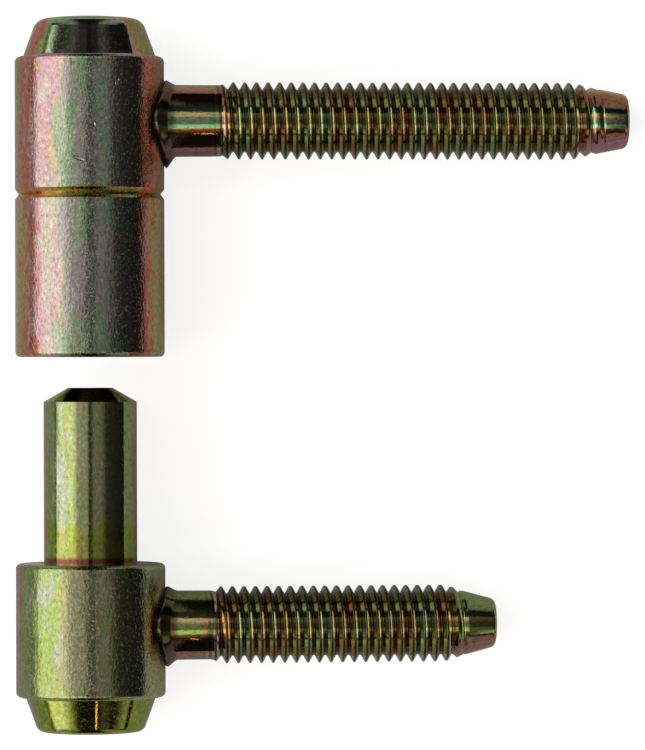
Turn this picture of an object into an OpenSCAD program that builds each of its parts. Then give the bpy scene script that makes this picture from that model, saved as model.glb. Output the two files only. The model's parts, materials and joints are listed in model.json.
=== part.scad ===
// Two-part drill-in hinge for a rebated door, shown taken apart.
// The frame half carries the hinge pin. The leaf half has the socket that drops over it.
// Both halves lie on a flat surface: +X along the studs, +Y along the hinge axis, +Z up.
// The origin is under the middle of the whole pair, on the surface that it lies on.

/* [Knuckles] */
// Thickness of both knuckles' walls round the pin
knuckle_wall = 3; // [2.4:0.1:5]
// Height of the frame knuckle
frame_knuckle_h = 14.3; // [12:0.1:24]
// Height of the leaf knuckle's upper part, which carries the stud
leaf_ring_h = 14.7; // [12:0.1:24]
// Height of the leaf knuckle's lower part, below the groove
leaf_sleeve_h = 17.4; // [12:0.1:30]
// Radius of the rounded rims of the knuckles
rim_r = 0.55; // [0.2:0.05:1]
// Depth of the groove turned round the leaf knuckle
groove_depth = 0.42; // [0.2:0.02:0.8]
// Width of the groove at the knuckle's surface
groove_w = 1.1; // [0.6:0.05:2]

/* [Pin] */
// Diameter of the hinge pin
pin_d = 10; // [8:0.1:14]
// Height of the pin above the frame knuckle
pin_rise = 18.8; // [12:0.1:28]
// Width of the bevel round the pin's tip, on radius
pin_bevel = 2.6; // [1:0.1:3.5]
// Angle of that bevel, from the axis
pin_tip_angle = 60; // [40:1:70]
// Clearance on radius between the pin and the frame knuckle's bore
pin_seat_gap = 0.02; // [0.01:0.01:0.05]
// Clearance on radius between the pin and the leaf knuckle's socket
pin_run_gap = 0.05; // [0.02:0.01:0.1]
// Air left above the pin's tip when the hinge is closed
socket_spare = 1.0; // [0.5:0.1:3]
// Countersink at the mouth of the socket
socket_bevel = 0.5; // [0.2:0.1:1]

/* [End caps] */
// Ledge of the knuckle left bare round the leaf half's cap
leaf_cap_ledge = 0.88; // [0.7:0.02:2]
// Height of the leaf half's cap at its rim
leaf_cap_h = 4.1; // [2.5:0.1:6]
// Rise of the leaf half's domed top above that rim
leaf_cap_crown = 0.25; // [0.1:0.05:0.6]
// Ledge of the knuckle left bare round the pin's head
pin_head_ledge = 1.02; // [0.7:0.02:2]
// Height of the pin's head
pin_head_h = 3.7; // [2.5:0.1:6]
// Slope of both caps, from the axis
cap_slope = 20; // [10:1:25]
// Radius of the rounded corner of the leaf half's cap
leaf_cap_corner_r = 1.5; // [0.4:0.1:2]
// Radius of the rounded corner of the pin's head
pin_head_corner_r = 0.9; // [0.4:0.1:2]

/* [Studs] */
// Length of the leaf half's stud, from the knuckle's surface
leaf_stud_l = 50; // [40:0.5:80]
// Length of the frame half's stud, from the knuckle's surface
frame_stud_l = 35.5; // [30:0.5:60]
// Plain length of the leaf half's stud before its thread
leaf_neck_l = 5.9; // [3:0.1:10]
// Plain length of the frame half's stud before its thread
frame_neck_l = 4.9; // [3:0.1:10]
// Distance of the leaf stud's axis below the top of the leaf knuckle
leaf_stud_drop = 6.8; // [5.5:0.1:8]
// Distance of the frame stud's axis below the top of the frame knuckle
frame_stud_drop = 6.7; // [5.5:0.1:8]
// Width of the weld collar beyond the neck, on radius
weld_flare = 0.9; // [0.3:0.1:1.2]
// Length of the weld collar along the stud
weld_l = 1.2; // [0.6:0.1:2]

/* [Thread] */
// Outer diameter of the thread
thread_d = 8.3; // [7.8:0.1:9]
// Height of the thread's crests above the plain neck, on radius
thread_rise = 0.32; // [0.2:0.02:0.4]
// Pitch of the thread
thread_pitch = 1.25; // [1:0.05:1.75]
// Depth of the thread's groove
thread_depth = 0.8; // [0.4:0.05:0.9]
// Width of the crest left between two turns of the groove
thread_crest = 0.28; // [0.2:0.02:0.5]
// Length of the leaf stud's tapered end
leaf_point_l = 5.0; // [3:0.1:8]
// Length of the frame stud's tapered end
frame_point_l = 4.3; // [3:0.1:8]
// Slope of the leaf stud's tapered end, from the axis
leaf_point_slope = 11; // [8:0.5:18]
// Slope of the frame stud's tapered end, from the axis
frame_point_slope = 15; // [8:0.5:18]
// Radius of the studs' rounded end corner
point_corner_r = 0.7; // [0.3:0.1:1]

/* [Layout] */
// Gap between the pin's tip and the leaf half as they lie
lift_gap = 3.3; // [1:0.1:20]

/* [Hidden] */
$fn = 96;

knuckle_r = pin_d / 2 + knuckle_wall;
frame_bore_r = pin_d / 2 + pin_seat_gap;
socket_r = pin_d / 2 + pin_run_gap;
pin_tip_h = pin_bevel / tan(pin_tip_angle);
socket_depth = pin_rise + socket_spare;
leaf_knuckle_h = leaf_ring_h + leaf_sleeve_h;
// The thread is rolled on a plain rod, which is left bare at the neck and the point.
neck_d = thread_d - 2 * thread_rise;

// How far the cutters of grooves and bevels stand out of the surface that they cut
cutter_over = 0.2;

// Heights along the hinge axis, from the bottom of the frame knuckle
frame_stud_y = frame_knuckle_h - frame_stud_drop;
pin_top_y = frame_knuckle_h + pin_rise;
leaf_y = pin_top_y + lift_gap;
leaf_stud_y = leaf_knuckle_h - leaf_stud_drop;
leaf_top_y = leaf_y + leaf_knuckle_h + leaf_cap_h + leaf_cap_crown;

// A half that lies on the surface leans until the last full crest of its thread touches it.
function dip(reach) = asin(knuckle_r / norm([reach, thread_d / 2])) - atan(thread_d / 2 / reach);
leaf_reach = knuckle_r + leaf_stud_l - leaf_point_l - thread_rise;
frame_reach = knuckle_r + frame_stud_l - frame_point_l - thread_rise;
leaf_dip = dip(leaf_reach);
frame_dip = dip(frame_reach);

// The outermost point of the leaf stud, which leans, gives the width of the pair.
leaf_tip_r = neck_d / 2 - leaf_point_l * tan(leaf_point_slope) - point_corner_r;
leaf_tip_x = (knuckle_r + leaf_stud_l - point_corner_r) * cos(leaf_dip)
    + leaf_tip_r * sin(leaf_dip) + point_corner_r;
axis_x = -(leaf_tip_x - knuckle_r) / 2;
axis_y = -(leaf_top_y - pin_head_h) / 2;

// Points of a round from angle a to angle b about the centre c.
function arc(c, r, a, b, n = 8) =
    [for (i = [0:n]) let (at = a + (b - a) * i / n) c + r * [cos(at), sin(at)]];

// Outline of a tapered cap on radius r, from its foot over a rounded corner to the axis.
function cap_outline(r, h, corner_r, crown = 0) =
    let (top_r = r - h * tan(cap_slope),
         back = corner_r * tan((90 - cap_slope) / 2),
         c = [top_r - back, h - corner_r],
         steps = crown > 0 ? 6 : 1)
    concat([[r, 0]], arc(c, corner_r, cap_slope, 90),
           [for (i = [1:steps]) let (t = i / steps) [c[0] * (1 - t), h + crown * (1 - pow(1 - t, 2))]]);

// Lays a piece that was turned about Z along the hinge axis, leaning by its half's dip.
module lay(y, lean) {
    translate([axis_x, axis_y + y, knuckle_r]) rotate([-90, 0, 0]) rotate(lean) children();
}

// Section of a knuckle from its bore out, with rounded rims.
module knuckle_section(bore_r, h) {
    polygon(concat([[bore_r, 0]], arc([knuckle_r - rim_r, rim_r], rim_r, -90, 0),
                   arc([knuckle_r - rim_r, h - rim_r], rim_r, 0, 90), [[bore_r, h]]));
}

// V-shaped cut across [x, y], depth deep towards -x and width wide at x, with its cutter standing out.
module v_cut(x, y, depth, width) {
    lip = width / 2 * (1 + cutter_over / depth);
    translate([x, y]) polygon([[-depth, 0], [cutter_over, -lip], [cutter_over, lip]]);
}

// Outline of a stud over the crests of its thread: weld collar, neck, crests, point.
module stud_blank(length, neck, point_l, slope) {
    point_x = knuckle_r + length - point_l;
    end_r = neck_d / 2 - point_l * tan(slope);
    end_back = point_corner_r * tan((90 - slope) / 2);
    collar = [for (i = [1:8]) let (t = i / 8)
        [neck_d / 2 + weld_flare * pow(1 - t, 2), knuckle_r + weld_l * t]];
    polygon(concat(
        [[0, 0], [neck_d / 2 + weld_flare, 0], [neck_d / 2 + weld_flare, knuckle_r]], collar,
        [[neck_d / 2, knuckle_r + neck],
         [thread_d / 2, knuckle_r + neck + thread_rise],
         [thread_d / 2, point_x - thread_rise],
         [neck_d / 2, point_x]],
        arc([end_r - end_back, knuckle_r + length - point_corner_r], point_corner_r, slope, 90),
        [[0, knuckle_r + length]]));
}

// A threaded stud along X at height z on the hinge axis, its foot shaped to the knuckle.
// The thread has its true pitch, depth and crests, as a row of grooves that run out on the point.
module stud(length, neck, point_l, slope, z) {
    thread_start = knuckle_r + neck + thread_rise + thread_pitch / 2;
    thread_end = knuckle_r + length - point_corner_r;
    translate([0, 0, z]) difference() {
        rotate([0, 90, 0]) rotate_extrude() difference() {
            stud_blank(length, neck, point_l, slope);
            for (y = [thread_start:thread_pitch:thread_end])
                v_cut(thread_d / 2, y, thread_depth, thread_pitch - thread_crest);
        }
        cylinder(h = 4 * knuckle_r, r = knuckle_r, center = true);
    }
}

module frame_knuckle() {
    color("darkkhaki") lay(0, frame_dip) rotate_extrude() knuckle_section(frame_bore_r, frame_knuckle_h);
}

module frame_stud() {
    color("olive") lay(0, frame_dip)
        stud(frame_stud_l, frame_neck_l, frame_point_l, frame_point_slope, frame_stud_y);
}

// The pin goes up through the frame knuckle, and its tapered head bears on the knuckle's underside.
module hinge_pin() {
    head = [for (p = cap_outline(knuckle_r - pin_head_ledge, pin_head_h, pin_head_corner_r))
        [p[0], -p[1]]];
    shank = [[0, pin_top_y], [pin_d / 2 - pin_bevel, pin_top_y],
             [pin_d / 2, pin_top_y - pin_tip_h], [pin_d / 2, 0]];
    color("yellowgreen") lay(0, 0) rotate_extrude() polygon(concat(head, shank));
}

// Ring and sleeve are one turned piece with a groove between them, bored through for the pin.
module leaf_knuckle() {
    color("rosybrown") lay(leaf_y, leaf_dip) rotate_extrude() difference() {
        knuckle_section(socket_r, leaf_knuckle_h);
        v_cut(knuckle_r, leaf_sleeve_h, groove_depth, groove_w);
        translate([socket_r, 0]) rotate(45) square(socket_bevel * sqrt(2), center = true);
    }
}

module leaf_stud() {
    color("olive") lay(leaf_y, leaf_dip)
        stud(leaf_stud_l, leaf_neck_l, leaf_point_l, leaf_point_slope, leaf_stud_y);
}

// The cap closes the top of the leaf knuckle. Its shank fills the bore down to the end of the socket.
module leaf_plug() {
    shank = leaf_knuckle_h - socket_depth;
    color("darkseagreen") lay(leaf_y + leaf_knuckle_h, 0) rotate_extrude()
        polygon(concat(
            cap_outline(knuckle_r - leaf_cap_ledge, leaf_cap_h, leaf_cap_corner_r, leaf_cap_crown),
            [[0, -shank], [socket_r, -shank], [socket_r, 0]]));
}

frame_knuckle();
frame_stud();
hinge_pin();
leaf_knuckle();
leaf_stud();
leaf_plug();
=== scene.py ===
"""Dresses the drill-in hinge: rolled threads, weld beads, and yellow zinc plating on turned steel, whose colours
carry painted reflections, highlights and shade.

Both halves lie on a pale floor. The camera looks straight down at them.
"""

import json
import math

import bpy
from mathutils import Matrix, Vector


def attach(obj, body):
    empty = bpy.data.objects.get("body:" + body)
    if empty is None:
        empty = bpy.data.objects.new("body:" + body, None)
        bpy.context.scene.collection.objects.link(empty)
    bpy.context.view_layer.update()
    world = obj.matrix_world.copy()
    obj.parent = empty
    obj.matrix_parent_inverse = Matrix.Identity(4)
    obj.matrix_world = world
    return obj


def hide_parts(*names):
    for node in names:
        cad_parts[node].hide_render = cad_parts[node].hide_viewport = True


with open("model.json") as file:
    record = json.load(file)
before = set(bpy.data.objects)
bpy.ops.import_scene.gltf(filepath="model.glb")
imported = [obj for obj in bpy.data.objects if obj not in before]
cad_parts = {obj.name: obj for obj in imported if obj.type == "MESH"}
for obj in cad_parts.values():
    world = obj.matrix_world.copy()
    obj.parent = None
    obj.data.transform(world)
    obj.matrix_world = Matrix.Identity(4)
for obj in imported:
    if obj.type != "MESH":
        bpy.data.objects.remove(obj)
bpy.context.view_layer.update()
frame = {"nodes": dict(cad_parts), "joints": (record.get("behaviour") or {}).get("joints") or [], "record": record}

bl_info = {
    "name": "Drill-in Hinge Finish",
    "version": (1, 0, 0),
    "blender": (4, 5, 0),
    "location": "3D View > Sidebar > Hinge",
    "description": "Threads, welds and plating for a two-part drill-in hinge",
    "category": "Object",
}

MM = 0.001

# Meshes
MELD = 1e-6                         # vertices closer than this become one
SMOOTH_ANGLE = math.radians(50)     # edges sharper than this stay sharp
STUD_STEPS = 64                     # steps round a stud
FLANK = math.radians(60)            # slope of the thread's flanks
ROOT_SHARE = 0.5                    # the root's share of the two roundings of the thread's section
ROUND_STEPS = 4                     # steps in each of these roundings
LEAD = 0.3                          # pitches of fading thread before its first full turn
CORNER_STEPS = 6                    # steps in the rounded corner at a stud's end
SUNK = 0.1 * MM                     # how far a stud's foot reaches into its knuckle
COLLAR_STEPS = 18                   # rings of vertices along the weld bead
BEAD_TOP = 0.2                      # where the weld bead is highest, as a share of its length
BEAD_ROUND = 0.12                   # how round its top is
BEAD_HOLLOW = 1.3                   # how hollow its slope is
BEAD_SWELL, BEAD_WAVE = 0.8, 0.1    # its height and its waves' height, as shares of the weld flare
BEAD_WAVES = 5                      # waves round it
BURR_NARROW = 16                    # how narrow its burr is

# Plating. Places along the hinge axis are measured from the swing joint's point. A relief is the depth of
# the pits, and a grain is how much rougher the specks are.
GROOVE_Y, GROOVE_HALF = 46.65 * MM, 0.6 * MM
TOP_RIM_Y, TOP_RIM_HALF = 7.2 * MM, 0.3 * MM
PIN_FOOT_Y, PIN_FOOT_HALF = -5 * MM, 16.1 * MM
PIN_RING_Y, PIN_RING_HALF = 7.5 * MM, 0.35 * MM
KNUCKLE_RELIEF, KNUCKLE_GRAIN = 0.03 * MM, 0.36
CAP_RELIEF, CAP_GRAIN = 0.005 * MM, 0.12
PIN_RELIEF, PIN_GRAIN = 0.004 * MM, 0.2
STUD_RELIEF = 0.008 * MM
LEAF_HEAT, FRAME_HEAT = 0.75, 0.35  # strength of the orange film round each weld

swing = next(joint for joint in frame["joints"] if joint["name"] == "swing")
hinge_axis = Vector(swing["pos_m"])
knuckle_r = hinge_axis.z


def mount(name):
    """One of the record's mounts by its name."""
    return next(m for m in frame["record"]["mounts"] if m["name"] == name)


class Stud:
    """Where a stud lies and how long it is, worked out from its mount, and its own small differences.

    first_crest is where the first crest shows on the side towards +Y, and burr is how much further the weld
    bead juts out on the side towards -Y.
    """

    def __init__(self, node, body, point_l, slope, first_crest, burr):
        thread = mount(node + "_thread")
        self.node, self.body, self.slot = node, body, node + "_zinc"
        self.along = Vector(thread["axis"]).normalized()
        middle = Vector(thread["pos_m"])
        self.foot = middle - self.along * ((middle.x - hinge_axis.x) / self.along.x)
        self.crest_r = thread["dims"]["r_mm"] * MM
        thread_l = thread["dims"]["length_mm"] * MM
        self.thread_start = (middle - self.foot).length - thread_l / 2
        self.thread_end = self.thread_start + thread_l
        self.point_l, self.slope = point_l, slope
        self.first_crest, self.burr = first_crest, burr
        lean = math.atan2(-self.along.z, self.along.x)
        self.place = Matrix.Translation(self.foot) @ Matrix.Rotation(lean, 4, "Y")


LEAF_STUD = Stud(
    "leaf_stud", "leaf_half",
    point_l=5.0 * MM, slope=math.radians(11), first_crest=15.40 * MM, burr=0.85 * MM,
)
FRAME_STUD = Stud(
    "frame_stud", "frame_half",
    point_l=4.3 * MM, slope=math.radians(15), first_crest=15.24 * MM, burr=0.35 * MM,
)


class ThreadSizes(bpy.types.PropertyGroup):
    """Sizes of the threads, the necks and the weld beads"""

    pitch: bpy.props.FloatProperty(
        name="Pitch", description="Distance from crest to crest",
        default=1.25 * MM, subtype="DISTANCE", precision=5,
    )
    depth: bpy.props.FloatProperty(
        name="Depth", description="Depth of the thread below its crests",
        default=0.8 * MM, subtype="DISTANCE", precision=5,
    )
    leaf_neck_r: bpy.props.FloatProperty(
        name="Leaf neck radius", description="Radius of the leaf stud's plain neck",
        default=3.83 * MM, subtype="DISTANCE", precision=5,
    )
    frame_neck_r: bpy.props.FloatProperty(
        name="Frame neck radius", description="Radius of the frame stud's plain neck",
        default=3.7 * MM, subtype="DISTANCE", precision=5,
    )
    corner_r: bpy.props.FloatProperty(
        name="End corner", description="Radius of the rounded corner at the stud's end",
        default=0.7 * MM, subtype="DISTANCE", precision=5,
    )
    weld_flare: bpy.props.FloatProperty(
        name="Weld flare", description="Width of the weld collar beyond the neck",
        default=0.55 * MM, subtype="DISTANCE", precision=5,
    )
    weld_l: bpy.props.FloatProperty(
        name="Weld length", description="Length of the weld collar along the stud",
        default=1.25 * MM, subtype="DISTANCE", precision=5,
    )


def colour_prop(name, description, red, green, blue):
    """A plating colour that a user can change."""
    return bpy.props.FloatVectorProperty(
        name=name, description=description, default=(red, green, blue, 1), size=4, min=0, max=1,
        subtype="COLOR",
    )


class PlatingColours(bpy.types.PropertyGroup):
    """Colours of the films on the plating. Many are laid round the pieces by angle from the top, as partly painted
    reflection colours.
    """

    # The edge, olive, rose, cream, moss, lime, green and neck colours are laid where reflections fall: partly the
    # plating's tints, partly painted reflection colours.
    leaf_edge: colour_prop("Leaf edge", "Olive film along the leaf half's sides", 0.36, 0.34, 0.10)
    leaf_olive: colour_prop("Leaf olive", "Golden olive film along the leaf sleeve's sides", 0.52, 0.40, 0.14)
    leaf_rose: colour_prop("Leaf rose", "Rose film between the sides and the bright band", 0.65, 0.21, 0.16)
    leaf_cream: colour_prop("Leaf cream", "Pink cream film of the bright band", 0.72, 0.42, 0.44)
    leaf_moss: colour_prop("Leaf moss", "Grey green film along the middle", 0.38, 0.48, 0.30)
    leaf_mauve: colour_prop("Leaf mauve", "Mauve patches along the leaf half's middle", 0.52, 0.40, 0.40)
    leaf_silver: colour_prop("Leaf silver", "Pale warm patches", 0.66, 0.60, 0.47)
    leaf_gold: colour_prop("Leaf gold", "Gold patches", 0.70, 0.55, 0.24)
    groove_stain: colour_prop("Groove stain", "Gold tint over the leaf knuckle's groove", 1.0, 0.82, 0.35)
    cap_green: colour_prop("Cap green", "Green film on the leaf half's cap", 0.30, 0.58, 0.26)
    frame_edge: colour_prop("Frame edge", "Reddish film along the frame half's sides", 0.40, 0.22, 0.15)
    frame_olive: colour_prop("Frame olive", "Olive green film inside the sides", 0.31, 0.39, 0.14)
    frame_lime: colour_prop("Frame lime", "Lime film of the bright band", 0.45, 0.57, 0.16)
    frame_moss: colour_prop("Frame moss", "Grey green film along the middle", 0.42, 0.47, 0.20)
    frame_ochre: colour_prop("Frame ochre", "Ochre patches along the frame half's middle", 0.52, 0.46, 0.27)
    frame_silver: colour_prop("Frame silver", "Silver patches", 0.60, 0.60, 0.46)
    frame_gold: colour_prop("Frame gold", "Gold patches", 0.66, 0.54, 0.14)
    rim_stain: colour_prop("Rim stain", "Cool tint over the frame knuckle's upper rim", 0.75, 0.85, 1.0)
    pin_stain: colour_prop("Pin stain", "Tint over the pin's foot and head", 0.92, 0.96, 0.40)
    pin_ring: colour_prop("Pin ring", "Red ring round the pin's foot", 0.66, 0.20, 0.50)
    neck_gold: colour_prop("Neck gold", "Gold film on the necks", 0.62, 0.50, 0.24)
    neck_green: colour_prop("Neck green", "Green film on the necks", 0.34, 0.60, 0.34)
    neck_rust: colour_prop("Neck rust", "Rust red film on the necks", 0.48, 0.20, 0.11)
    neck_mauve: colour_prop("Neck mauve", "Mauve film on the leaf neck", 0.46, 0.23, 0.24)
    # The neck end colours are laid on the upper side only, as a painted reflection edge.
    leaf_neck_end: colour_prop("Leaf neck end", "Green at both ends of the leaf neck", 0.24, 0.74, 0.22)
    frame_neck_end: colour_prop("Frame neck end", "Orange at both ends of the frame neck", 0.85, 0.36, 0.12)
    thread_flank: colour_prop("Thread flank", "Gold film on the threads' flanks", 0.62, 0.55, 0.28)
    thread_green: colour_prop("Thread green", "Pale green on some turns of the threads", 0.56, 0.68, 0.42)
    thread_rust: colour_prop("Thread rust", "Rust on some turns of the threads", 0.66, 0.36, 0.20)
    weld_brown: colour_prop("Weld brown", "Dark brown of the welds", 0.10, 0.08, 0.05)
    heat: colour_prop("Heat", "Orange film round the welds", 0.80, 0.27, 0.11)
    # Near-black next to the welds: scorched film and painted shadow where the bead meets the knuckle.
    scorch_and_shadow: colour_prop("Scorch", "Dark film next to the welds", 0.07, 0.025, 0.02)


class StageSizes(bpy.types.PropertyGroup):
    """Sizes of the floor and of the camera's view"""

    camera_height: bpy.props.FloatProperty(
        name="Camera height", description="Height of the camera above the hinge axis",
        default=0.5, subtype="DISTANCE",
    )
    view_height: bpy.props.FloatProperty(
        name="View height", description="Height of the picture, measured at the hinge axis",
        default=0.08034, subtype="DISTANCE", precision=5,
    )
    aim_x: bpy.props.FloatProperty(
        name="Aim X", description="Where the camera looks along the studs",
        default=-0.11 * MM, subtype="DISTANCE", precision=5,
    )
    aim_y: bpy.props.FloatProperty(
        name="Aim Y", description="Where the camera looks along the hinge axis",
        default=-0.175 * MM, subtype="DISTANCE", precision=5,
    )
    roll: bpy.props.FloatProperty(
        name="Roll", description="Turn of the camera about its line of sight",
        default=math.radians(-0.15), subtype="ANGLE", precision=3,
    )
    floor_size: bpy.props.FloatProperty(
        name="Floor size", description="Side of the square floor", default=0.24, subtype="DISTANCE",
    )


def deselect():
    """Leaves edit mode and deselects every object."""
    if bpy.context.mode != "OBJECT":
        bpy.ops.object.mode_set(mode="OBJECT")
    bpy.ops.object.select_all(action="DESELECT")


def drawn_line(name, points):
    """An open chain of edges, drawn by extruding one vertex from point to point."""
    deselect()
    bpy.ops.mesh.primitive_plane_add(size=MM)
    piece = bpy.context.object
    piece.name = piece.data.name = name
    bpy.ops.object.mode_set(mode="EDIT")
    bpy.ops.mesh.select_all(action="SELECT")
    bpy.ops.mesh.merge(type="CENTER")
    bpy.ops.transform.translate(value=points[0])
    for start, stop in zip(points, points[1:]):
        step = Vector(stop) - Vector(start)
        bpy.ops.mesh.extrude_vertices_move(TRANSFORM_OT_translate={"value": step})
    bpy.ops.object.mode_set(mode="OBJECT")
    return piece


def apply_modifier(kind, **settings):
    """Adds a modifier to the active piece, sets it and applies it."""
    bpy.ops.object.modifier_add(type=kind)
    modifier = bpy.context.object.modifiers[-1]
    for setting, value in settings.items():
        setattr(modifier, setting, value)
    bpy.ops.object.modifier_apply(modifier=modifier.name)


def turn_about_x(steps, pitch=0.0, turns=1):
    """Turns the active drawn line about X: a plain turned surface, or a thread where there is a pitch."""
    apply_modifier(
        "SCREW", axis="X", angle=math.tau, screw_offset=pitch, iterations=turns, steps=steps,
        render_steps=steps, use_merge_vertices=True, merge_threshold=MELD,
    )


def smooth(edge_low, edge_high, value):
    """0 below the low edge, 1 above the high one, and an even S-shaped rise between them."""
    t = min(max((value - edge_low) / (edge_high - edge_low), 0.0), 1.0)
    return t * t * (3 - 2 * t)


def neck_r(stud, sizes):
    """Radius of a stud's neck."""
    return sizes.leaf_neck_r if stud.body == "leaf_half" else sizes.frame_neck_r


def point_radius(stud, sizes, s):
    """Radius of the stud's tapered point at s, and of the neck's cylinder before it."""
    point_start = stud.thread_end + (stud.crest_r - neck_r(stud, sizes))
    return neck_r(stud, sizes) - max(s - point_start, 0.0) * math.tan(stud.slope)


def thread_line(stud, sizes):
    """One turn of the thread's section along X, from root to root, with rounded roots and crests."""
    root_r = stud.crest_r - sizes.depth
    unused_depth = sizes.pitch / 2 * math.tan(FLANK) - sizes.depth
    both_roundings = unused_depth * math.cos(FLANK) / (1 - math.cos(FLANK))
    turns = [FLANK * i / ROUND_STEPS for i in range(ROUND_STEPS + 1)]
    root, crest = ROOT_SHARE * both_roundings, (1 - ROOT_SHARE) * both_roundings
    rise = [(root * math.sin(turn), root_r + root * (1 - math.cos(turn))) for turn in turns]
    rise += [(sizes.pitch / 2 - crest * math.sin(turn), stud.crest_r - crest * (1 - math.cos(turn)))
             for turn in reversed(turns)]
    fall = [(sizes.pitch - u, r) for u, r in reversed(rise[:-1])]
    crest_on_top = stud.first_crest + sizes.pitch / 4
    first_root = crest_on_top - sizes.pitch / 2
    turns_before = math.ceil((first_root - stud.thread_start) / sizes.pitch) + 2
    start = first_root - turns_before * sizes.pitch
    return [(start + u, 0, r) for u, r in rise + fall], start


def cut_to_blank(piece, stud, sizes, start, end):
    """Lets the thread fade into the neck and run out on the point, between two flat ends."""
    plain_r = neck_r(stud, sizes)
    rise = stud.crest_r - plain_r
    for vertex in piece.data.vertices:
        s = min(max(vertex.co.x, start), end)
        threaded = math.hypot(vertex.co.y, vertex.co.z)
        radius = plain_r + (threaded - plain_r) * smooth(start, start + sizes.pitch, s)
        crest_rise = rise * (1 - smooth(stud.thread_end - sizes.pitch, stud.thread_end + sizes.pitch, s))
        radius = min(radius, point_radius(stud, sizes, s) + crest_rise)
        scale = radius / threaded
        vertex.co = (s, vertex.co.y * scale, vertex.co.z * scale)


def foot_line(stud, sizes, end):
    """Section of the weld collar and the neck, from the stud's foot on the knuckle to the thread."""
    sunk, radius = knuckle_r - SUNK, neck_r(stud, sizes)
    step = sizes.weld_l / COLLAR_STEPS
    collar = [(knuckle_r + step * i, 0, radius) for i in range(COLLAR_STEPS + 1)]
    return [(sunk, 0, 0), (sunk, 0, radius)] + collar + [(end, 0, radius)]


def end_line(stud, sizes, start):
    """Section of the point from where the thread has run out, over its rounded corner to the axis."""
    end = stud.thread_end + (stud.crest_r - neck_r(stud, sizes)) + stud.point_l
    back = sizes.corner_r * math.tan((math.pi / 2 - stud.slope) / 2)
    centre_s = end - sizes.corner_r
    centre_r = point_radius(stud, sizes, end) - back
    corner = []
    for i in range(CORNER_STEPS + 1):
        at = stud.slope + (math.pi / 2 - stud.slope) * i / CORNER_STEPS
        corner.append((centre_s + sizes.corner_r * math.sin(at), 0, centre_r + sizes.corner_r * math.cos(at)))
    return [(start, 0, point_radius(stud, sizes, start))] + corner + [(end, 0, 0)]


def bead_height(t):
    """Height of the weld bead, from its seam on the knuckle (t = 0) to its end on the neck (t = 1)."""
    away = math.hypot(t - BEAD_TOP, BEAD_ROUND) - BEAD_ROUND
    return max(1 - away / (1 - BEAD_TOP - BEAD_ROUND / 2), 0.0) ** BEAD_HOLLOW


def seat_on_knuckle(piece, stud, sizes):
    """Lays the foot on the round of the knuckle and swells it to an uneven weld bead."""
    for vertex in piece.data.vertices:
        s, y, z = vertex.co
        radius = math.hypot(y, z)
        if s > knuckle_r + sizes.weld_l + MELD or radius < MELD:
            continue
        wave = BEAD_WAVE * math.sin(BEAD_WAVES * math.atan2(z, y) + 1)
        burr = stud.burr * max(-y / radius, 0) ** BURR_NARROW
        swell = sizes.weld_flare * (BEAD_SWELL + wave) + burr
        swell *= bead_height(max(s - knuckle_r, 0) / sizes.weld_l)
        scale = (radius + swell) / radius
        saddle = math.sqrt(knuckle_r ** 2 - (z * scale) ** 2) - knuckle_r
        vertex.co = (s + saddle, y * scale, z * scale)


def join_and_meld(pieces, name):
    """Joins pieces into one mesh, melds their common edges and turns the faces outwards."""
    deselect()
    for piece in pieces:
        piece.select_set(True)
    bpy.context.view_layer.objects.active = pieces[0]
    bpy.ops.object.join()
    whole = bpy.context.object
    whole.name = whole.data.name = name
    bpy.ops.object.mode_set(mode="EDIT")
    bpy.ops.mesh.select_all(action="SELECT")
    bpy.ops.mesh.remove_doubles(threshold=MELD)
    bpy.ops.mesh.dissolve_degenerate(threshold=MELD)
    bpy.ops.mesh.normals_make_consistent(inside=False)
    bpy.ops.object.mode_set(mode="OBJECT")
    return whole


def settle(piece, place):
    """Puts a piece in its place with the place in its mesh."""
    deselect()
    piece.select_set(True)
    bpy.context.view_layer.objects.active = piece
    piece.matrix_world = place
    bpy.ops.object.transform_apply(location=True, rotation=True, scale=True)


def threaded_stud(stud, sizes):
    """A stud with its weld collar, neck, helical thread and point, as one closed mesh."""
    start = stud.thread_start - LEAD * sizes.pitch
    root_r = stud.crest_r - sizes.depth
    plain_r = neck_r(stud, sizes)
    end = stud.thread_end + (stud.crest_r - plain_r) + (plain_r - root_r) / math.tan(stud.slope)
    points, thread_from = thread_line(stud, sizes)
    thread = drawn_line("thread", points)
    turn_about_x(STUD_STEPS, sizes.pitch, math.ceil((end - thread_from) / sizes.pitch) + 1)
    cut_to_blank(thread, stud, sizes, start, end)
    neck = drawn_line("neck", foot_line(stud, sizes, start))
    turn_about_x(STUD_STEPS)
    seat_on_knuckle(neck, stud, sizes)
    point = drawn_line("point", end_line(stud, sizes, end))
    turn_about_x(STUD_STEPS)
    whole = join_and_meld([thread, neck, point], stud.node + "_rolled")
    bpy.ops.object.shade_smooth_by_angle(angle=SMOOTH_ANGLE)
    settle(whole, stud.place)
    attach(whole, stud.body)
    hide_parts(stud.node)
    return whole


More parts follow.
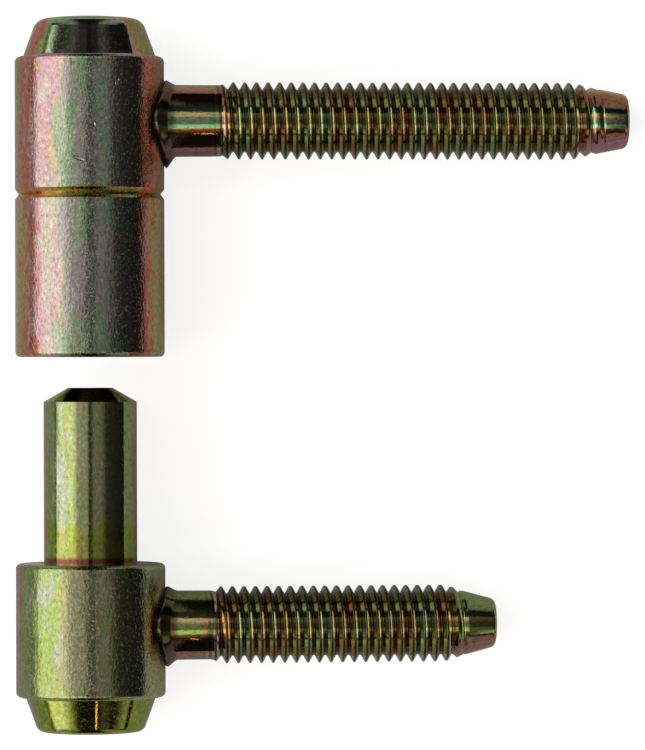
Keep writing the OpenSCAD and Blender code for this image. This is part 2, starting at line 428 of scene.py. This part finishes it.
class Recipe:
    """A material's node tree, built one node at a time."""

    def __init__(self, tree):
        self.tree = tree
        tree.nodes.clear()

    def add(self, kind, settings=None, **inputs):
        """Adds a node. Each input is named by its socket, or by n and the socket's number.

        An input is a value or another node's output.
        """
        node = self.tree.nodes.new("ShaderNode" + kind)
        for setting, value in (settings or {}).items():
            setattr(node, setting, value)
        for name, value in inputs.items():
            numbered = name[0] == "n" and name[1:].isdigit()
            socket = node.inputs[int(name[1:]) if numbered else name.replace("_", " ")]
            if isinstance(value, bpy.types.NodeSocket):
                self.tree.links.new(value, socket)
            else:
                socket.default_value = value
        return node

    def math(self, operation, *values):
        """Result of a Math node on values or outputs."""
        inputs = {f"n{i}": value for i, value in enumerate(values)}
        return self.add("Math", {"operation": operation}, **inputs).outputs[0]

    def fade(self, value, start, stop, low=0.0, high=1.0, shape="LINEAR"):
        """Goes from low to high while the value goes from start to stop."""
        settings = {"interpolation_type": shape}
        return self.add("MapRange", settings, n0=value, n1=start, n2=stop, n3=low, n4=high).outputs[0]

    def mix(self, factor, first, second, blend="MIX"):
        """Result of mixing two colours."""
        node = self.add("Mix", {"data_type": "RGBA", "blend_type": blend}, n0=factor, n6=first, n7=second)
        return node.outputs[2]

    def ramp(self, factor, stops):
        """Colour along a ramp of (place, colour) stops."""
        node = self.add("ValToRGB", n0=factor)
        ramp = node.color_ramp
        ramp.elements[0].position, ramp.elements[0].color = stops[0]
        ramp.elements[1].position, ramp.elements[1].color = stops[-1]
        for place, colour in stops[1:-1]:
            ramp.elements.new(place).color = colour
        return node.outputs[0]


def grey(value):
    """A grey, or a plain factor on a ramp."""
    return (value, value, value, 1)


def bands_to_ramp(bands):
    """Ramp stops, from -180 to 180 degrees, for bands given as (degrees, colour)."""
    return [((angle + 180) / 360, tuple(colour)) for angle, colour in bands]


def leaf_bands(colours):
    """Films round the leaf knuckle, in degrees from the top towards the stud: partly the plating's tints, partly
    painted reflection colours, with the pink cream where the softbox is reflected and the darker olive edges where
    the floor is.
    """
    edge, rose, cream, moss = colours.leaf_edge, colours.leaf_rose, colours.leaf_cream, colours.leaf_moss
    return bands_to_ramp([
        (-180, moss), (-110, edge), (-71, edge), (-65, rose), (-50, rose), (-43, cream), (-28, cream),
        (-19, moss), (36, moss), (46, rose), (64, rose), (74, edge), (110, edge), (180, moss)])


def sleeve_bands(colours):
    """Films round the leaf knuckle's sleeve, below the groove: partly the plating's tints, partly painted
    reflection colours, laid as on the knuckle.
    """
    olive, rose, cream, moss = colours.leaf_olive, colours.leaf_rose, colours.leaf_cream, colours.leaf_moss
    return bands_to_ramp([
        (-180, moss), (-110, olive), (-62, olive), (-54, rose), (-47, rose), (-43, cream), (-28, cream),
        (-19, moss), (36, moss), (46, rose), (52, rose), (60, olive), (110, olive), (180, moss)])


def cap_bands(colours):
    """Films round the leaf half's cap: partly the plating's tints, partly painted reflection colours, with the
    green where the softbox is reflected.
    """
    edge, rose, green, moss = colours.leaf_edge, colours.leaf_rose, colours.cap_green, colours.leaf_moss
    return bands_to_ramp([
        (-180, moss), (-110, edge), (-78, edge), (-70, rose), (-50, rose), (-44, green), (-34, green),
        (-26, moss), (38, moss), (48, rose), (56, edge), (110, edge), (180, moss)])


def frame_bands(colours):
    """Films round the frame knuckle, in degrees from the top towards the stud: partly the plating's tints, partly
    painted reflection colours, with the lime where the softbox is reflected and the reddish edges where the floor
    is.
    """
    edge, olive, lime, moss = colours.frame_edge, colours.frame_olive, colours.frame_lime, colours.frame_moss
    return bands_to_ramp([
        (-180, moss), (-110, edge), (-69, edge), (-61, olive), (-48, olive), (-41, lime), (-28, lime),
        (-19, moss), (88, moss), (110, edge), (180, moss)])


def pin_bands(colours):
    """Films round the pin and its head: partly the plating's tints, partly painted reflection colours, with the
    lime and pale where the softbox is reflected.
    """
    edge, olive, lime, moss = colours.frame_edge, colours.frame_olive, colours.frame_lime, colours.frame_moss
    pale = colours.frame_silver
    return bands_to_ramp([
        (-180, moss), (-110, edge), (-74, edge), (-65, olive), (-46, olive), (-42, lime), (-35, pale),
        (-24, lime), (-18, moss), (38, moss), (48, olive), (66, olive), (76, edge), (110, edge), (180, moss)])


def leaf_neck_bands(colours):
    """Films round the leaf stud's neck and point, in degrees from the top towards the frame half: partly the
    plating's tints, partly painted reflection colours where the cards above are reflected.
    """
    gold, green, rust, mauve = colours.neck_gold, colours.neck_green, colours.neck_rust, colours.neck_mauve
    return bands_to_ramp([
        (-180, gold), (-66, gold), (-52, rust), (-30, rust), (-14, green), (-8, gold), (1, gold), (5, green),
        (11, green), (15, gold), (30, rust), (46, mauve), (100, mauve), (180, gold)])


def frame_neck_bands(colours):
    """Films round the frame stud's neck and point, in degrees from the top away from the leaf half: partly the
    plating's tints, partly painted reflection colours where the cards above are reflected.
    """
    gold, green, olive, edge = colours.neck_gold, colours.frame_lime, colours.frame_olive, colours.frame_edge
    return bands_to_ramp([
        (-180, olive), (-30, olive), (-16, gold), (-4, gold), (4, green), (14, green), (30, edge),
        (60, edge), (180, olive)])


def uneven(recipe, place, scale, stretch, detail, roughness):
    """A noise, drawn out by a stretch on each axis."""
    drawn = recipe.add("Mapping", Vector=place, Scale=stretch).outputs[0]
    return recipe.add("TexNoise", Vector=drawn, Scale=scale, Detail=detail, Roughness=roughness).outputs[0]


def metal(recipe, colour, roughness, height, relief):
    """A bright metal with a relief, as the material's surface."""
    bump = recipe.add("Bump", Strength=1.0, Distance=relief, Height=height).outputs[0]
    shader = recipe.add("BsdfPrincipled", Base_Color=colour, Metallic=1.0, Roughness=roughness, Normal=bump)
    recipe.add("OutputMaterial", Surface=shader.outputs[0])


def mark(recipe, place, centre, turn, half_sizes):
    """1 in the middle of a small oval mark on the surface and 0 outside it."""
    own = recipe.add(
        "Mapping", {"vector_type": "TEXTURE"},
        Vector=place, Location=centre, Rotation=(0, 0, turn), Scale=half_sizes,
    ).outputs[0]
    away = recipe.add("VectorMath", {"operation": "LENGTH"}, n0=own).outputs["Value"]
    return recipe.fade(away, 1.0, 0.4, shape="SMOOTHSTEP")


def new_material(name):
    """An empty material and the recipe of its nodes."""
    material = bpy.data.materials.new(name)
    material.use_nodes = True
    return material, Recipe(material.node_tree)


def patched(recipe, film, place, around, patches, patch_colours):
    """Film with silver and gold patches only in the bright band, where the softbox is reflected, as a painted
    patchy highlight, and dull clouds along the middle.
    """
    silver, gold, dull = patch_colours
    inside = recipe.ramp(around, bands_to_ramp([
        (-56, grey(0.25)), (-44, grey(1)), (40, grey(1)), (50, grey(0.25))]))
    middle = recipe.ramp(around, bands_to_ramp([
        (-26, grey(0)), (-16, grey(0.8)), (38, grey(0.8)), (46, grey(0))]))
    clouds = recipe.ramp(uneven(recipe, place, 420, (1, 0.3, 1), 3, 0.6), [(0.47, grey(0)), (0.56, grey(1))])
    film = recipe.mix(recipe.math("MULTIPLY", clouds, middle), film, dull)
    # Bright is the band where the softbox is reflected; the pale and gold patches laid only there are a painted
    # patchy highlight.
    bright = recipe.math("MULTIPLY", inside, recipe.math("MULTIPLY_ADD", middle, -0.9, 1.0))
    pale = recipe.ramp(patches, [(0.5, grey(0)), (0.56, grey(0.85))])
    golden = recipe.ramp(patches, [(0.37, grey(0.7)), (0.44, grey(0))])
    film = recipe.mix(recipe.math("MULTIPLY", pale, bright), film, silver)
    return recipe.mix(recipe.math("MULTIPLY", golden, bright), film, gold)


def heated_and_shadowed(recipe, film, place, patches, heat):
    """Film near-black next to a stud's foot, scorched film and painted shadow where the weld bead meets the
    knuckle, and orange round that.
    """
    foot, strength, orange, scorch_and_shadow = heat
    away = recipe.add("VectorMath", {"operation": "DISTANCE"}, n0=place, n1=foot).outputs["Value"]
    away = recipe.math("MULTIPLY_ADD", patches, 2.0 * MM, away)
    film = recipe.mix(recipe.fade(away, 7.6 * MM, 6.0 * MM, 0.0, strength), film, orange)
    # Near-black next to the bead: scorched film and painted shadow where the bead meets the knuckle.
    return recipe.mix(recipe.fade(away, 6.0 * MM, 5.5 * MM, 0.0, 0.85), film, scorch_and_shadow)


def stained(recipe, film, y, patches, stain):
    """Film tinted all round the piece, between two ragged edges."""
    centre, half, tint = stain
    ragged = min(half, 6 * MM)
    away = recipe.math("MULTIPLY_ADD", patches, ragged, y)
    away = recipe.math("ABSOLUTE", recipe.math("SUBTRACT", away, centre + ragged / 2))
    return recipe.mix(recipe.fade(away, half + 0.2 * MM, half - 0.2 * MM), film, tint, "MULTIPLY")


def turned_plating(node, bands, patch_colours, relief, grain, stains=(), heat=None, marks=(), lower=None):
    """Yellow zinc on turned steel: ragged bands of film round the piece, partly painted reflection colours,
    patches, streaks and fine pits.

    Lower is a place along the hinge axis and the bands below it.
    """
    material, recipe = new_material(node + "_plating")
    middle = frame["nodes"][node].matrix_world.inverted() @ hinge_axis
    place = recipe.add("TexCoord").outputs["Object"]
    place = recipe.add("VectorMath", {"operation": "SUBTRACT"}, n0=place, n1=middle).outputs[0]
    x, y, z = recipe.add("SeparateXYZ", n0=place).outputs
    streaks = uneven(recipe, place, 900, (1, 0.25, 1), 3, 0.6)
    patches = uneven(recipe, place, 640, (1, 0.24, 1), 5, 0.72)
    flecks = uneven(recipe, place, 3600, (1, 0.6, 1), 3, 0.6)
    specks = uneven(recipe, place, 4600, (1, 0.8, 1), 2, 0.6)

    around = recipe.math("MULTIPLY_ADD", recipe.math("ARCTAN2", x, z), 0.5 / math.pi, 0.5)
    around = recipe.math("ADD", around, recipe.math("MULTIPLY_ADD", streaks, 0.12, -0.06))
    # The bands are laid by angle from the top, so they are partly painted reflection colours.
    film = recipe.ramp(around, bands)
    if lower:
        top, lower_bands = lower
        below = recipe.fade(y, top + 0.2 * MM, top - 0.2 * MM)
        film = recipe.mix(below, film, recipe.ramp(around, lower_bands))
    film = patched(recipe, film, place, around, patches, patch_colours)
    if heat:
        film = heated_and_shadowed(recipe, film, place, patches, heat)
    for stain in stains:
        film = stained(recipe, film, y, patches, stain)
    shade = recipe.ramp(flecks, [(0.3, grey(0.6)), (0.44, grey(0.95)), (0.56, grey(1.05)), (0.7, grey(1.4))])
    colour = recipe.mix(1.0, film, shade, "MULTIPLY")

    height = recipe.math("MULTIPLY_ADD", streaks, 1.2, flecks)
    for centre, turn, half_sizes, rise in marks:
        height = recipe.math("MULTIPLY_ADD", mark(recipe, place, centre, turn, half_sizes), rise, height)
    rough_specks = recipe.ramp(specks, [(0.55, grey(0)), (0.63, grey(1))])
    roughness = recipe.math("MULTIPLY_ADD", streaks, 0.04, 0.035)
    roughness = recipe.math("MULTIPLY_ADD", rough_specks, grain, roughness)
    metal(recipe, colour, roughness, height, relief)
    return material


def neck_film_and_painted_reflection(recipe, stud, colours, s, turn, patches):
    """Bands of film round the neck and the point, partly painted reflection colours, with a bright ring at each
    end of the neck on its upper side only, a painted reflection edge.
    """
    on_leaf = stud.body == "leaf_half"
    around = recipe.math("ADD", turn, recipe.math("MULTIPLY_ADD", patches, 0.05, -0.025))
    # The neck bands are laid by angle from the top: partly painted reflection colours.
    film = recipe.ramp(around, leaf_neck_bands(colours) if on_leaf else frame_neck_bands(colours))
    start, end = knuckle_r + 0.5 * MM, stud.thread_start - 1.1 * MM
    off_middle = recipe.math("ABSOLUTE", recipe.math("SUBTRACT", s, (start + end) / 2))
    off_end = recipe.math("ABSOLUTE", recipe.math("SUBTRACT", off_middle, (end - start) / 2))
    near_end = recipe.fade(off_end, 0.3 * MM, 0.15 * MM, 0.0, 0.85)
    # Facing keeps the end rings to the upper side: a painted reflection edge.
    facing = recipe.ramp(turn, bands_to_ramp([(-22, grey(0)), (-14, grey(1)), (14, grey(1)), (22, grey(0))]))
    ring = colours.leaf_neck_end if on_leaf else colours.frame_neck_end
    return recipe.mix(recipe.math("MULTIPLY", near_end, facing), film, ring)


def thread_film_and_painted_light(recipe, stud, sizes, colours, place, s, turn):
    """Film that follows the thread, some turns greener or rustier, with painted highlights on the flanks, painted
    shade on the crests and in the roots, and painted shade along its sides.
    """
    # Painted highlight on the flanks (bright, flank) and painted shade on the crests and in the roots, read from
    # the thread's turn.
    bright, flank, crest, root = grey(1.45), grey(1.1), grey(0.15), grey(0.18)
    turns = recipe.math("SUBTRACT", recipe.math("DIVIDE", s, sizes.pitch), turn)
    phase = recipe.math("FRACT", recipe.math("ADD", turns, 0.25 - stud.first_crest / sizes.pitch))
    section = recipe.ramp(phase, [
        (0.0, crest), (0.08, crest), (0.16, bright), (0.37, bright), (0.44, root), (0.64, root),
        (0.69, flank), (0.86, flank), (0.94, crest), (1.0, crest)])
    along = uneven(recipe, place, 520, (1, 0.35, 0.35), 2, 0.7)
    hue = recipe.ramp(along, [
        (0.36, colours.thread_rust), (0.45, colours.thread_flank), (0.53, colours.thread_flank),
        (0.62, colours.thread_green)])
    # Painted shade: the thread darker on its sides than on its upper face.
    side = recipe.ramp(turn, bands_to_ramp([
        (-180, grey(1)), (-120, grey(0.6)), (-46, grey(0.5)), (-34, grey(1)), (34, grey(1)), (46, grey(0.68)),
        (120, grey(0.7)), (180, grey(1))]))
    film = recipe.mix(1.0, hue, section, "MULTIPLY")
    return recipe.mix(1.0, film, side, "MULTIPLY")


def welded(recipe, film, stud, sizes, colours, s, radius):
    """Film with the brown of the weld bead and its burnt tip."""
    bead_end = knuckle_r + sizes.weld_l
    film = recipe.mix(recipe.fade(s, bead_end - 0.6 * MM, bead_end, 0.8, 0.0), film, colours.weld_brown)
    burnt_r = neck_r(stud, sizes) + sizes.weld_flare
    return recipe.mix(recipe.fade(radius, burnt_r, burnt_r + 0.15 * MM, 0.0, 0.95), film, grey(0.01))


def stud_plating(stud, sizes, colours):
    """Yellow zinc on a stud, with painted reflection colours on the neck and painted highlights and shade on the
    thread, read in the stud's own place: s along it, y and z across it.
    """
    material, recipe = new_material(stud.node + "_plating")
    place = recipe.add("TexCoord").outputs["Object"]
    place = recipe.add(
        "Mapping", {"vector_type": "TEXTURE"},
        Vector=place, Location=stud.foot, Rotation=tuple(stud.place.to_euler()),
    ).outputs[0]
    s, y, z = recipe.add("SeparateXYZ", n0=place).outputs
    patches = uneven(recipe, place, 700, (0.5, 1, 1), 3, 0.6)
    flecks = uneven(recipe, place, 3600, (0.7, 1, 1), 3, 0.6)
    across = recipe.math("MULTIPLY", y, -1.0)
    turn = recipe.math("MULTIPLY_ADD", recipe.math("ARCTAN2", across, z), 0.5 / math.pi, 0.5)
    squares = recipe.math("MULTIPLY_ADD", y, y, recipe.math("MULTIPLY", z, z))
    radius = recipe.math("SQRT", squares)

    film = neck_film_and_painted_reflection(recipe, stud, colours, s, turn, patches)
    thread = thread_film_and_painted_light(recipe, stud, sizes, colours, place, s, turn)
    half_pitch = sizes.pitch / 2
    begun = recipe.fade(s, stud.thread_start - sizes.pitch, stud.thread_start)
    not_ended = recipe.fade(s, stud.thread_end - half_pitch, stud.thread_end + half_pitch, 1.0, 0.0)
    film = recipe.mix(recipe.math("MULTIPLY", begun, not_ended), film, thread)
    film = welded(recipe, film, stud, sizes, colours, s, radius)
    shade = recipe.ramp(flecks, [(0.3, grey(0.6)), (0.48, grey(1.0)), (0.7, grey(1.25))])
    colour = recipe.mix(1.0, film, shade, "MULTIPLY")
    roughness = recipe.math("MULTIPLY_ADD", patches, 0.04, 0.03)
    metal(recipe, colour, roughness, flecks, STUD_RELIEF)
    return material


def dress(node, material):
    """Gives a CAD node its finish."""
    frame["nodes"][node].material_slots[0].material = material


class HINGE_OT_threaded_studs(bpy.types.Operator):
    """Models both threaded studs with their weld collars"""

    bl_idname = "hinge.threaded_studs"
    bl_label = "Threaded Studs"

    def execute(self, context):
        scene = context.scene
        for stud in (LEAF_STUD, FRAME_STUD):
            piece = threaded_stud(stud, scene.hinge_thread)
            piece.data.materials.clear()
            piece.data.materials.append(stud_plating(stud, scene.hinge_thread, scene.hinge_colours))
        return {"FINISHED"}


# Marks on the leaf knuckle: place, turn, half sizes, and how far each rises (or drops) in reliefs.
RING_MARKS = (
    ((-0.81 * MM, 50.18 * MM, 7.96 * MM), math.radians(-21), (0.75 * MM, 0.2 * MM, 0.5 * MM), -3.5),
    ((0.78 * MM, 53.74 * MM, 7.96 * MM), 0.0, (0.3 * MM, 0.3 * MM, 0.5 * MM), -3.0),
    ((3.25 * MM, 58.1 * MM, 7.31 * MM), 0.0, (0.16 * MM, 0.2 * MM, 0.5 * MM), 4.0),
    ((3.5 * MM, 58.5 * MM, 7.2 * MM), 0.0, (0.12 * MM, 0.15 * MM, 0.5 * MM), 4.0),
)


def foot_heat_and_shadow(stud, strength, colours):
    """Where a weld has heated its knuckle, how strongly, and in which colours: orange heat tint, and near-black
    scorch with painted shadow.
    """
    foot = Vector((knuckle_r, stud.foot.y - hinge_axis.y, 0))
    return foot, strength, colours.heat, colours.scorch_and_shadow


class HINGE_OT_leaf_knuckle(bpy.types.Operator):
    """Finishes the leaf half's knuckle and its cap"""

    bl_idname = "hinge.leaf_knuckle"
    bl_label = "Leaf Knuckle and Cap"

    def execute(self, context):
        colours = context.scene.hinge_colours
        patch_colours = (colours.leaf_silver, colours.leaf_gold, colours.leaf_mauve)
        dress("leaf_knuckle", turned_plating(
            "leaf_knuckle", leaf_bands(colours), patch_colours, KNUCKLE_RELIEF, KNUCKLE_GRAIN,
            stains=[(GROOVE_Y, GROOVE_HALF, colours.groove_stain)],
            heat=foot_heat_and_shadow(LEAF_STUD, LEAF_HEAT, colours),
            marks=RING_MARKS, lower=(GROOVE_Y, sleeve_bands(colours))))
        dress("leaf_plug", turned_plating(
            "leaf_plug", cap_bands(colours), patch_colours, CAP_RELIEF, CAP_GRAIN))
        return {"FINISHED"}


class HINGE_OT_frame_knuckle(bpy.types.Operator):
    """Finishes the frame half's knuckle and its pin"""

    bl_idname = "hinge.frame_knuckle"
    bl_label = "Frame Knuckle and Pin"

    def execute(self, context):
        colours = context.scene.hinge_colours
        patch_colours = (colours.frame_silver, colours.frame_gold, colours.frame_ochre)
        dress("frame_knuckle", turned_plating(
            "frame_knuckle", frame_bands(colours), patch_colours, KNUCKLE_RELIEF, KNUCKLE_GRAIN,
            stains=[(TOP_RIM_Y, TOP_RIM_HALF, colours.rim_stain)],
            heat=foot_heat_and_shadow(FRAME_STUD, FRAME_HEAT, colours)))
        foot = (PIN_FOOT_Y, PIN_FOOT_HALF, colours.pin_stain)
        ring = (PIN_RING_Y, PIN_RING_HALF, colours.pin_ring)
        dress("hinge_pin", turned_plating(
            "hinge_pin", pin_bands(colours), patch_colours, PIN_RELIEF, PIN_GRAIN, stains=[foot, ring]))
        return {"FINISHED"}


def lay_floor(size):
    """A pale floor that looks white to the camera and keeps the hinge's shadow."""
    deselect()
    bpy.ops.mesh.primitive_plane_add(size=size, location=(0, 0, 0))
    floor = bpy.context.object
    floor.name = "floor"
    material, recipe = new_material("pale_floor")
    path = recipe.add("LightPath").outputs
    seen = recipe.math("MULTIPLY", path["Is Camera Ray"], 0.8)
    seen = recipe.math("MULTIPLY_ADD", path["Is Glossy Ray"], 0.04, seen)
    seen = recipe.math("MULTIPLY_ADD", path["Is Transmission Ray"], 0.8, seen)
    glow = recipe.add("Emission", Color=grey(1.0), Strength=seen).outputs[0]
    matt = recipe.add("BsdfDiffuse", Color=grey(0.8)).outputs[0]
    both = recipe.add("AddShader", n0=matt, n1=glow).outputs[0]
    recipe.add("OutputMaterial", Surface=both)
    floor.data.materials.append(material)


# Lights of the room. Each is a row of (angle, light) across the hinge, in degrees from straight up towards
# the studs, times a row of (share, light) along the hinge, from -1 at the frame half to 1 at the leaf half.
SOFTBOX = (
    (-100, 0.0), (-97, 0.15), (-91, 0.2), (-87, 1.1), (-70, 1.1), (-50, 1.0), (-42, 1.0), (-33, 0.4),
    (-29, 0.0))
SOFTBOX_ALONG = ((-0.69, 0.0), (-0.63, 1.0), (0.55, 1.0), (0.59, 0.04), (0.75, 0.04), (0.9, 0.0))
CARDS = (
    (-60, 0.0), (-40, 0.35), (-28, 0.55), (-18, 0.46), (-4, 0.46), (-1.5, 0.06), (6.5, 0.05), (9, 0.23),
    (18, 0.25), (31, 0.2), (37, 0.12), (40, 0.045), (55, 0.02), (80, 0.008))
CARDS_ALONG = (
    (-0.66, 0.0), (-0.6, (0.5, 0.28, 0.08, 1)), (-0.48, (1.1, 0.6, 0.2, 1)), (-0.44, 2.9), (-0.27, 2.9),
    (-0.21, 0.75), (0.0, 0.85), (0.14, 0.9), (0.2, 2.1), (0.38, 2.1), (0.43, 0.13), (0.7, 0.06), (0.9, 0.0))
WINDOW = ((48, 0.0), (56, 0.42), (84, 0.42), (88, 0.0))
WINDOW_ALONG = ((-0.64, 0.0), (-0.58, 1.0), (-0.46, 1.0), (-0.4, 0.0))
LIGHTS = ((SOFTBOX, SOFTBOX_ALONG), (CARDS, CARDS_ALONG), (WINDOW, WINDOW_ALONG))
LAMP_WAY = (0.187, -0.69, 0.7)
LAMP_EDGE, LAMP_CORE = math.radians(1.6), math.radians(0.6)     # where its light begins and where it is full
LAMP_COLOUR = (4.0, 1.7, 0.5, 1)


def light_ramp(recipe, value, limit, stops):
    """Light along a value that runs from -limit to limit, from (place, strength or colour) stops."""
    return recipe.ramp(value, [
        ((place + limit) / (2 * limit), light if isinstance(light, tuple) else grey(light))
        for place, light in stops])


def light_room():
    """A dark room: a tall softbox at the left, cards above, a window, faint corners and a small lamp."""
    world = bpy.data.worlds.new("studio")
    bpy.context.scene.world = world
    world.use_nodes = True
    recipe = Recipe(world.node_tree)
    way = recipe.add("TexCoord").outputs["Generated"]
    x, y, z = recipe.add("SeparateXYZ", n0=way).outputs
    across = recipe.math("MULTIPLY_ADD", recipe.math("ARCTAN2", x, z), 0.5 / math.pi, 0.5)
    along = recipe.math("MULTIPLY_ADD", y, 0.5, 0.5)
    at_ends = recipe.fade(recipe.math("ABSOLUTE", y), 0.66, 0.76, 0.0, 0.3)
    at_sides = recipe.fade(recipe.math("ABSOLUTE", x), 0.25, 0.4)
    lit = recipe.math("MULTIPLY_ADD", at_ends, at_sides, 0.01)
    for row_across, row_along in LIGHTS:
        by_angle = light_ramp(recipe, across, 180, row_across)
        by_share = light_ramp(recipe, along, 1, row_along)
        lit = recipe.mix(1.0, lit, recipe.mix(1.0, by_angle, by_share, "MULTIPLY"), "ADD")
    lamp_way = Vector(LAMP_WAY).normalized()
    near_lamp = recipe.add("VectorMath", {"operation": "DOT_PRODUCT"}, n0=way, n1=lamp_way).outputs["Value"]
    lit = recipe.mix(recipe.fade(near_lamp, math.cos(LAMP_EDGE), math.cos(LAMP_CORE)), lit, LAMP_COLOUR)
    path = recipe.add("LightPath").outputs["Is Camera Ray"]
    seen = recipe.mix(path, lit, grey(1.0))
    glow = recipe.add("Background", Color=seen, Strength=1.0).outputs[0]
    recipe.add("OutputWorld", Surface=glow)


def set_camera(sizes):
    """Looks straight down at the middle of the pair, with the hinge axis upright in the picture."""
    place = (sizes.aim_x, sizes.aim_y, hinge_axis.z + sizes.camera_height)
    bpy.ops.object.camera_add(location=place, rotation=(0, 0, sizes.roll))
    camera = bpy.context.object
    camera.data.sensor_width = 36
    camera.data.lens = camera.data.sensor_width * sizes.camera_height / sizes.view_height
    camera.data.clip_start, camera.data.clip_end = 0.01, 20
    bpy.context.scene.camera = camera


class HINGE_OT_stage(bpy.types.Operator):
    """Sets the floor, the light of the room and the camera"""

    bl_idname = "hinge.stage"
    bl_label = "Stage"

    def execute(self, context):
        sizes = context.scene.hinge_stage
        lay_floor(sizes.floor_size)
        light_room()
        set_camera(sizes)
        context.scene.view_settings.view_transform = "Standard"
        return {"FINISHED"}


class HINGE_PT_panel(bpy.types.Panel):
    """Lists the sizes, the colours and the operators"""

    bl_label = "Drill-in Hinge"
    bl_idname = "HINGE_PT_panel"
    bl_space_type = "VIEW_3D"
    bl_region_type = "UI"
    bl_category = "Hinge"

    def draw(self, context):
        scene = context.scene
        for group in (scene.hinge_thread, scene.hinge_colours, scene.hinge_stage):
            for name in group.__annotations__:
                self.layout.prop(group, name)
        for operator in OPERATORS:
            self.layout.operator(operator.bl_idname)


OPERATORS = (HINGE_OT_threaded_studs, HINGE_OT_leaf_knuckle, HINGE_OT_frame_knuckle, HINGE_OT_stage)
CLASSES = (ThreadSizes, PlatingColours, StageSizes) + OPERATORS + (HINGE_PT_panel,)


def register():
    """Registers the classes and gives the scene its properties."""
    for cls in CLASSES:
        bpy.utils.register_class(cls)
    bpy.types.Scene.hinge_thread = bpy.props.PointerProperty(type=ThreadSizes)
    bpy.types.Scene.hinge_colours = bpy.props.PointerProperty(type=PlatingColours)
    bpy.types.Scene.hinge_stage = bpy.props.PointerProperty(type=StageSizes)


def unregister():
    """Takes the properties and the classes away again."""
    del bpy.types.Scene.hinge_stage
    del bpy.types.Scene.hinge_colours
    del bpy.types.Scene.hinge_thread
    for cls in reversed(CLASSES):
        bpy.utils.unregister_class(cls)


def main():
    """Makes every piece, then the stage."""
    register()
    bpy.ops.hinge.threaded_studs()
    bpy.ops.hinge.leaf_knuckle()
    bpy.ops.hinge.frame_knuckle()
    bpy.ops.hinge.stage()


if __name__ == "__main__":
    main()
